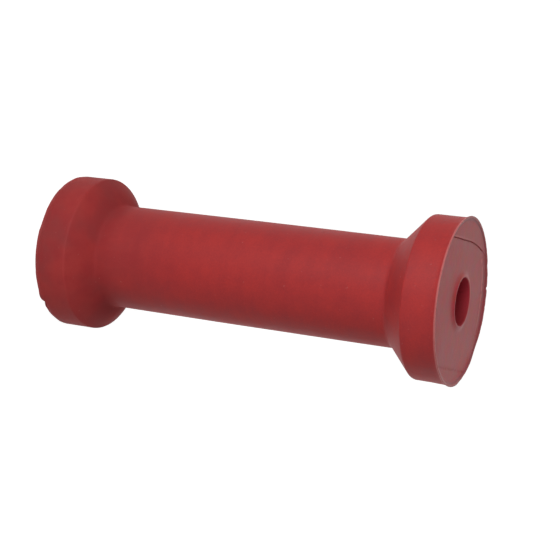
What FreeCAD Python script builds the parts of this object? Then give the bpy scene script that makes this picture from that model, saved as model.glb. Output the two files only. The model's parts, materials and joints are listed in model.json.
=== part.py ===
import FreeCAD, Part
import math
import os

import Sketcher

# Keel roller of a boat trailer: one piece of red polyurethane, cast upright in an open mould
# round a core pin. The roller stands on its moulded end. The origin is the middle of that end
# and +Z runs along the bore to the open-cast end. The photograph looks at the -Y side, with
# -X upwards, so bearings are measured about +Z from +X, the underside in the photograph.

# Driving dimensions, in millimetres and degrees
DIMENSIONS = [
    # Overall form
    ("overall_length", 203.0),
    ("rim_diameter", 75.0),
    ("waist_diameter", 50.3),
    ("bore_diameter", 21.5),
    # Moulded end, which lay at the bottom of the mould
    ("moulded_rim_width", 17.0),
    ("moulded_shoulder_length", 9.8),
    ("moulded_edge_round", 1.8),
    ("moulded_mouth_chamfer", 0.5),
    # Open-cast end, where the resin was poured in
    ("cast_rim_width", 16.1),
    ("cast_shoulder_length", 11.8),
    ("cast_mouth_chamfer", 0.4),
    # Roundings along the side
    ("moulded_shoulder_round", 1.2),
    ("moulded_waist_fillet", 2.8),
    ("cast_waist_fillet", 2.5),
    ("cast_shoulder_round", 1.2),
    # Lip that the resin left where it crept up the mould wall
    ("lip_flare", 0.9),
    ("lip_flare_length", 3.5),
    ("lip_width", 0.9),
    ("lip_creep", 2.4),
    # Low collar where the resin crept up the core pin
    ("collar_width", 0.9),
    ("collar_creep", 3.2),
    ("dish_depth", 0.9),
    # Skin of the last topping-up pour, which ends in a lapped step across the dish
    ("lap_height", 0.35),
    ("lap_width", 10.3),
    ("lap_bend_start", 1.0),
    ("lap_bend_radius", 90.0),
    ("lap_tuck", 0.3),
    # Stretch of lip that was shaved off with a knife
    ("shave_bearing", 50.0),
    ("shave_half_angle", 25.0),
    ("shave_allowance", 0.15),
    # Nicks in the lip and in the moulded edge
    ("upper_nick_bearing", 102.0),
    ("upper_nick_width", 3.4),
    ("upper_nick_depth", 1.4),
    ("lower_nick_bearing", 88.5),
    ("lower_nick_width", 2.8),
    ("lower_nick_depth", 0.9),
    ("lip_nick_height", 1.6),
    ("edge_nick_bearing", -40.0),
    ("edge_nick_width", 8.2),
    ("edge_nick_depth", 2.0),
    ("edge_nick_height", 2.6),
    # How far cutting outlines run past the surface that they cut
    ("overcut", 2.0),
]

NODE = "keel_roller"
SHEET = "Sizes"
RING_TOLERANCE = 0.001


def make_sheet(doc):
    """Spreadsheet with one row for each driving dimension."""
    sheet = doc.addObject("Spreadsheet::Sheet", SHEET)
    for row, (alias, value) in enumerate(DIMENSIONS, start=1):
        sheet.set(f"A{row}", alias)
        sheet.set(f"B{row}", str(value))
        sheet.setAlias(f"B{row}", alias)
    doc.recompute()
    return sheet


# Names for the ends of an edge and for the sketch's own origin and level axis
START, END, CENTRE = 1, 2, 3
ORIGIN = (-1, 1)
FLAT_AXIS = -1


# Sketching helpers


def size(name):
    """The text by which an expression reads a driving dimension."""
    return f"{SHEET}.{name}"


def new_sketch(body, name, role, lift=None, bearing=None):
    """A sketch on one of the body's origin planes, lifted and turned by expressions."""
    sketch = body.newObject("Sketcher::SketchObject", name)
    plane = next(item for item in body.Origin.OriginFeatures if item.Role == role)
    sketch.AttachmentSupport = [(plane, "")]
    sketch.MapMode = "FlatFace"
    if lift:
        sketch.setExpression("AttachmentOffset.Base.z", lift)
    if bearing:
        sketch.setExpression("AttachmentOffset.Rotation.Angle", bearing)
    return sketch


def add_line(sketch, start, end):
    segment = Part.LineSegment(FreeCAD.Vector(*start, 0), FreeCAD.Vector(*end, 0))
    return sketch.addGeometry(segment, False)


def add_arc(sketch, centre, start, end):
    """Arc that runs anticlockwise about the centre from start to end."""
    radius = math.dist(centre, start)
    first = math.atan2(start[1] - centre[1], start[0] - centre[0])
    last = math.atan2(end[1] - centre[1], end[0] - centre[0])
    if last < first:
        last += 2 * math.pi
    circle = Part.Circle(FreeCAD.Vector(*centre, 0), FreeCAD.Vector(0, 0, 1), radius)
    return sketch.addGeometry(Part.ArcOfCircle(circle, first, last), False)


def rule(sketch, kind, *places):
    """A geometric constraint."""
    sketch.addConstraint(Sketcher.Constraint(kind, *places))


def measure(sketch, kind, places, formula):
    """A dimension whose value is read from the sheet."""
    value = float(sketch.evalExpression(formula))
    if kind == "Angle":
        value = math.radians(value)
    number = sketch.addConstraint(Sketcher.Constraint(kind, *places, value))
    sketch.setExpression(f"Constraints[{number}]", formula)


def round_corner(sketch, side, radius_alias):
    """Round the corner at a side's end. Returns the sharp corner, kept as a point to measure from."""
    arc = sketch.GeometryCount
    radius = float(sketch.evalExpression(size(radius_alias)))
    sketch.fillet(side, END, radius, True, True)
    measure(sketch, "Radius", (arc,), size(radius_alias))
    corner_point = arc + 1
    return corner_point, START


def add_feature(body, kind, name, sketch):
    feature = body.newObject(kind, name)
    feature.Profile = sketch
    sketch.Visibility = False
    return feature


def turn(body, kind, name, sketch):
    """Revolve or groove a half section right round the bore axis."""
    feature = add_feature(body, kind, name, sketch)
    feature.ReferenceAxis = (sketch, ["V_Axis"])
    feature.Angle = 360
    return feature


def chamfer_ring(body, name, alias, radius, height):
    """Chamfer the circular edge that lies at this radius and height."""
    body.Document.recompute()
    base = body.Tip
    picked = []
    for number, edge in enumerate(base.Shape.Edges, start=1):
        if not isinstance(edge.Curve, Part.Circle):
            continue
        same_radius = abs(edge.Curve.Radius - radius) < RING_TOLERANCE
        same_height = abs(edge.Curve.Center.z - height) < RING_TOLERANCE
        if same_radius and same_height:
            picked.append(f"Edge{number}")
    chamfer = body.newObject("PartDesign::Chamfer", name)
    chamfer.Base = (base, picked)
    chamfer.setExpression("Size", size(alias))


# The roller, in the order in which it is made


def cast_blank(body, sheet):
    """Half section of the filled mould: rims, cones and waist, and the flared lip."""
    rim = sheet.rim_diameter / 2
    waist = sheet.waist_diameter / 2
    top = sheet.overall_length
    upper_cone = top - sheet.cast_rim_width
    flare_start = top - sheet.lip_flare_length
    flare, rise = sheet.lip_flare, sheet.lip_flare_length
    flare_radius = (flare**2 + rise**2) / (2 * flare)
    corners = [
        (0, 0),
        (rim, 0),
        (rim, sheet.moulded_rim_width),
        (waist, sheet.moulded_rim_width + sheet.moulded_shoulder_length),
        (waist, upper_cone - sheet.cast_shoulder_length),
        (rim, upper_cone),
        (rim, flare_start),
    ]
    crest = (rim + flare, top)

    sketch = new_sketch(body, "BlankSection", "XZ_Plane")
    sides = [add_line(sketch, a, b) for a, b in zip(corners, corners[1:])]
    base, lower_rim, lower_cone, waist_side, cone, upper_rim = sides
    lip = add_arc(sketch, (rim + flare_radius, flare_start), crest, corners[-1])
    cover = add_line(sketch, crest, (0, top))
    axis = add_line(sketch, (0, top), (0, 0))

    for first, second in zip(sides, sides[1:]):
        rule(sketch, "Coincident", first, END, second, START)
    rule(sketch, "Tangent", upper_rim, END, lip, END)
    rule(sketch, "Coincident", lip, START, cover, START)
    rule(sketch, "Coincident", cover, END, axis, START)
    rule(sketch, "Coincident", axis, END, base, START)
    rule(sketch, "Coincident", base, START, *ORIGIN)
    for edge in (base, cover):
        rule(sketch, "Horizontal", edge)
    for edge in (lower_rim, waist_side, upper_rim, axis):
        rule(sketch, "Vertical", edge)

    lower_edge = round_corner(sketch, base, "moulded_edge_round")
    lower_shoulder = round_corner(sketch, lower_rim, "moulded_shoulder_round")
    lower_waist = round_corner(sketch, lower_cone, "moulded_waist_fillet")
    upper_waist = round_corner(sketch, waist_side, "cast_waist_fillet")
    upper_shoulder = round_corner(sketch, cone, "cast_shoulder_round")

    rim_radius = size("rim_diameter") + " / 2"
    measure(sketch, "DistanceX", (*ORIGIN, *lower_edge), rim_radius)
    measure(sketch, "DistanceX", (*ORIGIN, *upper_shoulder), rim_radius)
    measure(sketch, "DistanceX", (*ORIGIN, *lower_waist), size("waist_diameter") + " / 2")
    measure(sketch, "DistanceY", (*lower_edge, *lower_shoulder), size("moulded_rim_width"))
    measure(sketch, "DistanceY", (*lower_shoulder, *lower_waist), size("moulded_shoulder_length"))
    measure(sketch, "DistanceY", (*upper_waist, *upper_shoulder), size("cast_shoulder_length"))
    measure(sketch, "DistanceY", (*upper_shoulder, cover, START), size("cast_rim_width"))
    measure(sketch, "DistanceX", (lip, END, lip, START), size("lip_flare"))
    measure(sketch, "DistanceY", (lip, END, lip, START), size("lip_flare_length"))
    measure(sketch, "DistanceY", (*ORIGIN, cover, END), size("overall_length"))
    turn(body, "PartDesign::Revolution", "Blank", sketch)


def leave_bore(body, sheet):
    """Plain bore right through, left by the core pin."""
    sketch = new_sketch(body, "BoreCircle", "XY_Plane")
    circle = Part.Circle(FreeCAD.Vector(0, 0, 0), FreeCAD.Vector(0, 0, 1), sheet.bore_diameter / 2)
    edge = sketch.addGeometry(circle, False)
    rule(sketch, "Coincident", edge, CENTRE, *ORIGIN)
    measure(sketch, "Diameter", (edge,), size("bore_diameter"))
    bore = add_feature(body, "PartDesign::Pocket", "Bore", sketch)
    bore.Type = "ThroughAll"
    bore.Reversed = True


def sink_dish(body, sheet):
    """Half section of what the resin's level left hollow between the lip and the collar."""
    top = sheet.overall_length
    floor = top - sheet.dish_depth
    above = top + sheet.overcut
    inner = sheet.bore_diameter / 2 + sheet.collar_width
    outer = sheet.rim_diameter / 2 + sheet.lip_flare - sheet.lip_width
    inner_foot = inner + sheet.collar_creep
    outer_foot = outer - sheet.lip_creep
    depth = sheet.dish_depth
    inner_radius = (sheet.collar_creep**2 + depth**2) / (2 * depth)
    outer_radius = (sheet.lip_creep**2 + depth**2) / (2 * depth)

    sketch = new_sketch(body, "DishSection", "XZ_Plane")
    collar = add_arc(sketch, (inner_foot, floor + inner_radius), (inner, top), (inner_foot, floor))
    bed = add_line(sketch, (inner_foot, floor), (outer_foot, floor))
    creep = add_arc(sketch, (outer_foot, floor + outer_radius), (outer_foot, floor), (outer, top))
    outer_wall = add_line(sketch, (outer, top), (outer, above))
    cover = add_line(sketch, (outer, above), (inner, above))
    inner_wall = add_line(sketch, (inner, above), (inner, top))

    rule(sketch, "Tangent", collar, END, bed, START)
    rule(sketch, "Tangent", bed, END, creep, START)
    rule(sketch, "Coincident", creep, END, outer_wall, START)
    rule(sketch, "Coincident", outer_wall, END, cover, START)
    rule(sketch, "Coincident", cover, END, inner_wall, START)
    rule(sketch, "Coincident", inner_wall, END, collar, START)
    for edge in (bed, cover):
        rule(sketch, "Horizontal", edge)
    for edge in (outer_wall, inner_wall):
        rule(sketch, "Vertical", edge)

    length = size("overall_length")
    collar_radius = f"{size('bore_diameter')} / 2 + {size('collar_width')}"
    lip_radius = f"{size('rim_diameter')} / 2 + {size('lip_flare')} - {size('lip_width')}"
    measure(sketch, "DistanceX", (*ORIGIN, collar, START), collar_radius)
    measure(sketch, "DistanceX", (*ORIGIN, creep, END), lip_radius)
    measure(sketch, "DistanceX", (collar, START, collar, END), size("collar_creep"))
    measure(sketch, "DistanceX", (creep, START, creep, END), size("lip_creep"))
    measure(sketch, "DistanceY", (*ORIGIN, creep, END), length)
    measure(sketch, "DistanceY", (*ORIGIN, collar, START), length)
    measure(sketch, "DistanceY", (bed, END, creep, END), size("dish_depth"))
    measure(sketch, "DistanceY", (outer_wall, START, outer_wall, END), size("overcut"))
    turn(body, "PartDesign::Groove", "Dish", sketch)


def ease_mouths(body, sheet):
    """A small chamfer round each mouth of the bore."""
    bore = sheet.bore_diameter / 2
    chamfer_ring(body, "MouldedMouth", "moulded_mouth_chamfer", bore, 0)
    chamfer_ring(body, "CastMouth", "cast_mouth_chamfer", bore, sheet.overall_length)


def lap_outline(sheet):
    """Corners of the lap: the chord's two ends, the end of its bend, and the bend's centre."""
    edge = sheet.rim_diameter / 2 + sheet.lip_flare - sheet.lip_width - sheet.lap_tuck
    chord = sheet.rim_diameter / 2 - sheet.lap_width
    bend = sheet.lap_bend_radius
    chord_start = (-chord, -math.sqrt(edge**2 - chord**2))
    chord_end = (-chord, sheet.lap_bend_start)
    centre = (bend - chord, sheet.lap_bend_start)
    reach = math.hypot(*centre)
    along = (edge**2 - bend**2 + reach**2) / (2 * reach)
    across = math.sqrt(edge**2 - along**2)
    toward = (centre[0] / reach, centre[1] / reach)
    bend_end = (along * toward[0] - across * toward[1], along * toward[1] + across * toward[0])
    return chord_start, chord_end, bend_end, centre


def pour_lap(body, sheet):
    """Thin skin over the upper part of the dish, whose edge is the dark crease on the face."""
    chord_start, chord_end, bend_end, centre = lap_outline(sheet)
    dish_floor = f"{size('overall_length')} - {size('dish_depth')}"
    sketch = new_sketch(body, "LapOutline", "XY_Plane", lift=dish_floor)
    chord = add_line(sketch, chord_start, chord_end)
    bend = add_arc(sketch, centre, bend_end, chord_end)
    edge = add_arc(sketch, (0, 0), bend_end, chord_start)
    rule(sketch, "Vertical", chord)
    rule(sketch, "Tangent", chord, END, bend, END)
    rule(sketch, "Coincident", bend, START, edge, START)
    rule(sketch, "Coincident", edge, END, chord, START)
    rule(sketch, "Coincident", edge, CENTRE, *ORIGIN)
    lip_inside = f"{size('lip_flare')} - {size('lip_width')} - {size('lap_tuck')}"
    measure(sketch, "Radius", (edge,), f"{size('rim_diameter')} / 2 + {lip_inside}")
    measure(sketch, "Radius", (bend,), size("lap_bend_radius"))
    chord_distance = f"{size('rim_diameter')} / 2 - {size('lap_width')}"
    measure(sketch, "DistanceX", (chord, END, *ORIGIN), chord_distance)
    measure(sketch, "DistanceY", (*ORIGIN, chord, END), size("lap_bend_start"))
    lap = add_feature(body, "PartDesign::Pad", "Lap", sketch)
    lap.setExpression("Length", size("lap_height"))


def shave_lip(body, sheet):
    """The flare is pared back to the rim along one stretch of the lip."""
    inner = sheet.rim_diameter / 2 + sheet.shave_allowance
    outer = inner + sheet.lip_flare + sheet.overcut
    half_angle = math.radians(sheet.shave_half_angle)
    low = (math.cos(half_angle), -math.sin(half_angle))
    high = (math.cos(half_angle), math.sin(half_angle))
    near_low, near_high = [(inner * x, inner * y) for x, y in (low, high)]
    far_low, far_high = [(outer * x, outer * y) for x, y in (low, high)]

    above = f"{size('overall_length')} + {size('overcut')}"
    sketch = new_sketch(
        body, "ShaveOutline", "XY_Plane", lift=above, bearing=size("shave_bearing")
    )
    kept = add_arc(sketch, (0, 0), near_low, near_high)
    upper = add_line(sketch, near_high, far_high)
    waste = add_arc(sketch, (0, 0), far_low, far_high)
    lower = add_line(sketch, far_low, near_low)
    rule(sketch, "Coincident", kept, END, upper, START)
    rule(sketch, "Coincident", upper, END, waste, END)
    rule(sketch, "Coincident", waste, START, lower, START)
    rule(sketch, "Coincident", lower, END, kept, START)
    rule(sketch, "Coincident", kept, CENTRE, *ORIGIN)
    rule(sketch, "Coincident", waste, CENTRE, *ORIGIN)
    rule(sketch, "Symmetric", kept, START, kept, END, FLAT_AXIS)
    rule(sketch, "Symmetric", waste, START, waste, END, FLAT_AXIS)
    kept_radius = f"{size('rim_diameter')} / 2 + {size('shave_allowance')}"
    waste_radius = f"{kept_radius} + {size('lip_flare')} + {size('overcut')}"
    sine = f"sin({size('shave_half_angle')} * 1 deg)"
    measure(sketch, "Radius", (kept,), kept_radius)
    measure(sketch, "Radius", (waste,), waste_radius)
    measure(sketch, "DistanceY", (*ORIGIN, kept, END), f"({kept_radius}) * {sine}")
    measure(sketch, "DistanceY", (*ORIGIN, waste, END), f"({waste_radius}) * {sine}")
    shave = add_feature(body, "PartDesign::Pocket", "Shave", sketch)
    shave.Type = "Length"
    shave.setExpression("Length", f"{size('lip_flare_length')} + {size('overcut')}")


def cut_nick(body, sheet, name, surface, outline_radius, height, upwards):
    """A three-cornered nick that runs into the outline at its own bearing."""
    nick_depth = getattr(sheet, f"{name}_depth")
    half_width = getattr(sheet, f"{name}_width") / 2
    radius = float(sheet.evalExpression(outline_radius))
    tip = (radius - nick_depth, 0)
    spread = half_width * (nick_depth + sheet.overcut) / nick_depth
    low = (radius + sheet.overcut, -spread)
    high = (radius + sheet.overcut, spread)

    sketch = new_sketch(
        body, f"{name}_outline", "XY_Plane", lift=surface, bearing=size(f"{name}_bearing")
    )
    lower = add_line(sketch, tip, low)
    outside = add_line(sketch, low, high)
    upper = add_line(sketch, high, tip)
    rule(sketch, "Coincident", lower, END, outside, START)
    rule(sketch, "Coincident", outside, END, upper, START)
    rule(sketch, "Coincident", upper, END, lower, START)
    rule(sketch, "PointOnObject", lower, START, FLAT_AXIS)
    rule(sketch, "Symmetric", outside, START, outside, END, FLAT_AXIS)
    depth, width = size(f"{name}_depth"), size(f"{name}_width")
    measure(sketch, "DistanceX", (*ORIGIN, lower, START), f"{outline_radius} - {depth}")
    measure(sketch, "DistanceX", (*ORIGIN, outside, END), f"{outline_radius} + {size('overcut')}")
    full_spread = f"{width} * ({depth} + {size('overcut')}) / {depth}"
    measure(sketch, "DistanceY", (outside, START, outside, END), full_spread)
    nick = add_feature(body, "PartDesign::Pocket", name, sketch)
    nick.Type = "Length"
    nick.Reversed = upwards
    nick.setExpression("Length", f"{size(height)} + {size('overcut')}")


def nick_edges(body, sheet):
    """Nicks that trimming left in the lip, and one in the moulded edge."""
    rim = f"{size('rim_diameter')} / 2"
    crest = f"{rim} + {size('lip_flare')}"
    above = f"{size('overall_length')} + {size('overcut')}"
    below = f"-{size('overcut')}"
    cut_nick(body, sheet, "upper_nick", above, crest, "lip_nick_height", False)
    cut_nick(body, sheet, "lower_nick", above, crest, "lip_nick_height", False)
    cut_nick(body, sheet, "edge_nick", below, rim, "edge_nick_height", True)


def build_roller(doc, sheet):
    body = doc.addObject("PartDesign::Body", "Roller")
    body.Label = NODE
    cast_blank(body, sheet)
    leave_bore(body, sheet)
    sink_dish(body, sheet)
    ease_mouths(body, sheet)
    pour_lap(body, sheet)
    shave_lip(body, sheet)
    nick_edges(body, sheet)
    return body


def check_document(doc, body):
    """Stop if a feature failed, or if the roller isn't one valid solid."""
    doc.recompute()
    for item in doc.Objects:
        if {"Invalid", "Error"} & set(item.State):
            raise RuntimeError(f"{item.Name} failed: {item.State}")
    shape = body.Shape
    if shape.isNull() or not shape.isValid() or len(shape.Solids) != 1:
        raise RuntimeError(f"{body.Label} isn't one valid solid")


def main():
    doc = FreeCAD.newDocument("KeelRoller")
    sheet = make_sheet(doc)
    body = build_roller(doc, sheet)
    check_document(doc, body)
    os.makedirs("parts", exist_ok=True)
    body.Shape.exportStep(os.path.join("parts", f"{body.Label}.step"))
    print(f"{body.Label}: {body.Shape.Volume:.0f} mm3")


main()
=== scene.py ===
import json
import math
from functools import reduce

import bpy
from mathutils import Matrix, Vector


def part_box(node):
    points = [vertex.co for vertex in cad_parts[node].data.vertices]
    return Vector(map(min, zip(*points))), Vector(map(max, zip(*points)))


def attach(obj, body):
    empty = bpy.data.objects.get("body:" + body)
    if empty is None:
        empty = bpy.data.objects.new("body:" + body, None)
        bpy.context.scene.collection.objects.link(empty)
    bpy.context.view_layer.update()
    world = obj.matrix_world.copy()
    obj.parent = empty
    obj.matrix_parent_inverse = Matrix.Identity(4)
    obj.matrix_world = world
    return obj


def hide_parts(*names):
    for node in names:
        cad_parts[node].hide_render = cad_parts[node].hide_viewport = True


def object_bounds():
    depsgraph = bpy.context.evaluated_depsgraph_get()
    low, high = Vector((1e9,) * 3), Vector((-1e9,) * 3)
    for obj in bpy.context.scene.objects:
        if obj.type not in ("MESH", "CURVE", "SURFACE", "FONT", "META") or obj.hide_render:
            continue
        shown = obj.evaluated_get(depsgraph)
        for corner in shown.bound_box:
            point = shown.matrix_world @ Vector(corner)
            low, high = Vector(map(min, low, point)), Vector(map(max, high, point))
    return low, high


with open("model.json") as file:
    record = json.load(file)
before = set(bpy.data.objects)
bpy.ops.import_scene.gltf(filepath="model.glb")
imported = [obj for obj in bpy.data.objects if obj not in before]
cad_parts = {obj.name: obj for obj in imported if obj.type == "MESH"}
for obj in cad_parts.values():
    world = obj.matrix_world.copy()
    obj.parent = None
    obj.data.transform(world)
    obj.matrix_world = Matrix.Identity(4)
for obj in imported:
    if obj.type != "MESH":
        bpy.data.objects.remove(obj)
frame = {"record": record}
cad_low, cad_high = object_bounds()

# Keel roller of red polyurethane, cast upright round a core pin. It stands on its moulded end,
# and the camera looks at its -Y side with -X upwards in the picture. Lengths are in metres.
# Bearings run round the bore axis in degrees from +X, which is the underside in the picture.

NODE = "keel_roller"
PIECE = "keel_roller_casting"

mounts = {mount["name"]: mount for mount in frame["record"]["mounts"]}
node_low, node_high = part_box(NODE)

# Sizes of the roller, which the nodes take as named inputs
SIZES = {
    "Overall Length": node_high.z - node_low.z,
    "Rim Radius": 0.0375,
    "Waist Radius": 0.02508,
    "Waist Swell": 0.00014,
    "Bore Radius": mounts["bore"]["dims"]["r_mm"] / 1000,
    "Moulded Rim Width": 0.0170,
    "Moulded Shoulder Length": 0.0098,
    "Moulded Edge Round": 0.0018,
    "Moulded Mouth Chamfer": 0.0005,
    "Cast Rim Width": 0.0161,
    "Cast Shoulder Length": 0.0118,
    "Cast Mouth Chamfer": 0.0004,
    "Moulded Shoulder Round": 0.0012,
    "Moulded Waist Fillet": 0.0028,
    "Cast Waist Fillet": 0.0025,
    "Cast Shoulder Round": 0.0012,
    "Small Round": 0.00015,
    # Flared lip that the resin left where it crept up the mould wall
    "Lip Flare": 0.0009,
    "Lip Flare Length": 0.0035,
    "Lip Width": 0.0009,
    "Lip Creep": 0.0024,
    # The lip is fully flared along two stretches, and about this share of that elsewhere
    "Lip Evenness": 0.74,
    "Lip Unevenness": 0.3,
    "Underside Full Bearing": 0.0,
    "Underside Full Half Angle": 42.0,
    "Top Full Bearing": 180.0,
    "Top Full Half Angle": 34.0,
    # Long run of the flare on the underside
    "Flare Run": 0.0045,
    "Flare Run Rise": 0.00018,
    # Stretches where the lip stands a little lower
    "Back Low Bearing": 118.0,
    "Back Low Half Angle": 4.5,
    "Back Low Drop": 0.00018,
    "Side Low Bearing": 56.0,
    "Side Low Half Angle": 15.0,
    "Side Low Drop": 0.00034,
    "Underside Low Bearing": 20.0,
    "Underside Low Half Angle": 10.0,
    "Underside Low Drop": 0.00026,
    # Small bites that the knife left along the lip
    "Bite Angle": 5.2,
    "Bite Depth": 0.00032,
    "Bite Drop": 0.000032,
    "Bite Bearing": 98.0,
    "Bite Half Angle": 62.0,
    # Collar and dish round the core pin
    "Collar Width": 0.0009,
    "Collar Creep": 0.0032,
    "Dish Depth": 0.0009,
    # Side of the bore's mouth and collar that carries a painted highlight
    "Highlit Mouth Bearing": 130.0,
    "Highlit Mouth Half Angle": 120.0,
    # Skin of the last pour, with the bead along its edge and the crease in front of it
    "Lap Height": 0.00035,
    "Lap Distance": 0.0272,
    "Lap Bend Start": 0.001,
    "Lap Bend Radius": 0.090,
    "Lap Riser": 0.0001,
    "Lap Bead": 0.00016,
    "Lap Bead Reach": 0.0005,
    "Lap Bead Set Back": 0.00035,
    "Crease Depth": 0.00032,
    "Crease Reach": 0.00027,
    "Crease Set Forward": 0.000162,
    "Crease End": 0.0228,
    # Raised, pale edge of skin along the foot of the lip
    "Skin Edge Radius": 0.0320,
    "Skin Edge Wander": 0.0016,
    "Skin Edge Reach": 0.0013,
    "Skin Edge Rise": 0.00012,
    "Skin Edge Bearing": 104.0,
    "Skin Edge Half Angle": 44.0,
    # Faint groove, like a tide mark, across the lower part of the dish, and a step down past it
    "Tide Distance": 0.0306,
    "Tide Slant": 0.064,
    "Tide Depth": 0.00016,
    "Tide Step": 0.00008,
    "Tide Reach": 0.0007,
    # Stretch of lip pared off with a knife
    "Shave Bearing": 50.0,
    "Shave Half Angle": 25.0,
    "Shave Allowance": 0.00015,
    "Shave Unevenness": 0.0003,
    # Nicks in the lip and in the moulded edge
    "Upper Nick Bearing": 102.0,
    "Upper Nick Width": 0.0034,
    "Upper Nick Depth": 0.0014,
    "Upper Nick Height": 0.0016,
    "Lower Nick Bearing": 88.5,
    "Lower Nick Width": 0.0028,
    "Lower Nick Depth": 0.0009,
    "Lower Nick Height": 0.0016,
    "Edge Nick Bearing": -40.0,
    "Edge Nick Width": 0.0082,
    "Edge Nick Depth": 0.0022,
    "Edge Nick Height": 0.0026,
    # Flat cuts that trimming left round the moulded edge, with deeper stretches
    "Cut Angle": 7.5,
    "Cut Wander": 2.0,
    "Cut Depth": 0.0007,
    "Cut Spread": 0.0003,
    "Cut Slope": 0.34,
    "Deep Cut Bearing": -92.0,
    "Deep Cut Half Angle": 46.0,
    "Deep Cut Depth": 0.00055,
    "Deepest Cut Bearing": -111.0,
    "Deepest Cut Half Angle": 17.0,
    "Deepest Cut Depth": 0.0009,
    "Upper Cut Bearing": -143.0,
    "Upper Cut Half Angle": 8.0,
    "Upper Cut Depth": 0.0004,
    "Notch Cut Bearing": -36.0,
    "Notch Cut Half Angle": 8.0,
    "Notch Cut Depth": 0.0005,
    # Tooth that the knife missed
    "Tooth Bearing": -49.0,
    "Tooth Half Angle": 6.0,
    "Tooth Rise": 0.0006,
    "Tooth Height": 0.0045,
    # Unevenness of the casting
    "Slow Wave": 0.00016,
    "Quick Wave": 0.00006,
    "Face Wave": 0.00008,
    "Pimple Bearing": -81.9,
    "Pimple Height": 0.0986,
    "Pimple Reach": 0.0009,
    "Pimple Rise": 0.0002,
    # Spacing of the rows of faces
    "Edge Pitch": 0.0005,
    "Side Pitch": 0.0013,
    "Cone Pitch": 0.00104,
    "Waist Pitch": 0.0028,
    "Bore Pitch": 0.010,
    "Fine Pitch": 0.0003,
    "Creep Pitch": 0.00091,
    "Dish Pitch": 0.001105,
    "Collar Pitch": 0.00036,
    "Crease Pitch": 0.00013,
    # How far the closer rows reach to each side of the pimple and of the lap's edge
    "Pimple Rows Reach": 0.00126,
    "Lap Rows Before": 0.0006,
    "Lap Rows Behind": 0.0008,
    "Lap Rows Margin": 0.0001,
    # Points nearer to each other than this become one
    "Weld Distance": 0.00001,
}
# Columns of faces round the roller, and the share of the moulded rim that has the edge's rows
COLUMNS = 390
EDGE_ROWS = 1 / 3

# Stretches of the moulded edge that were cut deeper, and of the lip that stand lower
DEEP_CUTS = ("Deep Cut", "Deepest Cut", "Upper Cut", "Notch Cut")
LOW_STRETCHES = ("Back Low", "Side Low", "Underside Low")

# Where the flare turns outwards, in shares of its length below the crest, and the radius of that
# turn, in shares of its length squared over its width
FLARE_BEND = 0.48
FLARE_ARC = 0.44
# Keeps the lap's straight edge at a finite radius on the bearings that never meet it
LEAST_ACROSS = 0.05
# Points further from the axis than this many bore radii are trimmed and made uneven
OUTSIDE = 2.0

# Strength of the weaker marks (wear on the moulded edge, painted highlights on the bore's mouth, the
# bead and the collar, painted shade along the faint groove), against the lip's painted highlight, the
# skin edge's paleness and the crease's painted shade
MOULDED_EDGE_WEAR = 0.25
MOUTH_HIGHLIGHT = 0.6
BEAD_HIGHLIGHT = 0.4
COLLAR_HIGHLIGHT = 0.8
TIDE_SHADE = 0.4

# Where each fade starts and where it is full
FADES = {
    # Shares of the length that the code names
    "flare's run, foot": (2.0, 1.0),
    "flare's run, top": (0.0, 0.6),
    "shave, foot": (1.2, 0.8),
    "nick, foot": (1.0, 0.7),
    "pimple": (1.0, 0.15),
    # Painted shade beyond the skin's edge
    "beyond the skin edge": (0.3, 1.6),
    # Painted shade in the crease and along the faint groove
    "shaded crease": (1.1, 0.3),
    "shaded tide": (0.8, 0.0),
    # Degrees past the ends of the stretch
    "shave, ends": (1.5, -1.5),
    # Metres from the place that the code names
    "flare's run, outwards": (-0.002, -0.001),
    "low stretch, foot": (0.003, 0.0),
    "rows follow the lap": (0.0035, 0.0),
    "fresh bead": (0.022, -0.012),
    "crease, end": (0.0015, -0.0015),
    "crease, clear of the lip": (-0.0002, -0.0009),
    "waves, above the edge": (0.0, 0.004),
    "waves, below the lip": (0.003, 0.006),
    # Painted highlight on the lip's crest and the bore's mouth, and wear on the moulded edge
    "highlit lip, upwards": (0.0011, 0.0005),
    "highlit lip, outwards": (-0.0004, 0.0),
    "worn edge, downwards": (0.0025, 0.0005),
    "worn edge, outwards": (-0.003, -0.001),
    "highlit mouth, upwards": (0.0006, 0.0001),
    "highlit mouth, inwards": (0.001, 0.0),
    # Painted highlights on the lap's bead and on the collar
    "highlit bead, towards the front": (0.006, -0.012),
    "highlit bead, inwards": (0.0, -0.001),
    "highlit collar": (0.0008, 0.0),
    # Painted shade on the inside wall of the lip
    "shaded wall, outwards": (-0.0018, -0.0006),
    "shaded wall, downwards": (0.0, 0.0004),
    # Painted shade in the crease and along the faint groove
    "shaded crease, clear of the lip": (-0.0003, -0.0011),
    "shaded tide, inwards": (0.0, -0.002),
    "corner, lengthwise": (0.009, 0.001),
    "corner, inwards": (0.0, -0.004),
    "wall of the bore": (0.0002, 0.0),
    "lit side of the bore": (0.010, -0.010),
    # Painted shade towards the moulded end
    "shade towards the moulded end": (0.075, 0.0),
    # Values of the clouds with that name
    "broken skin": (-0.16, 0.04),
    # Ragged patches of painted shade beyond the skin's edge
    "ragged shade": (-0.25, 0.1),
    # Stains within the painted shade towards the moulded end
    "stains towards the moulded end": (-0.13, 0.13),
    "skin hue": (-0.16, 0.16),
    "flecks": (0.22, 0.30),
}

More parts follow.
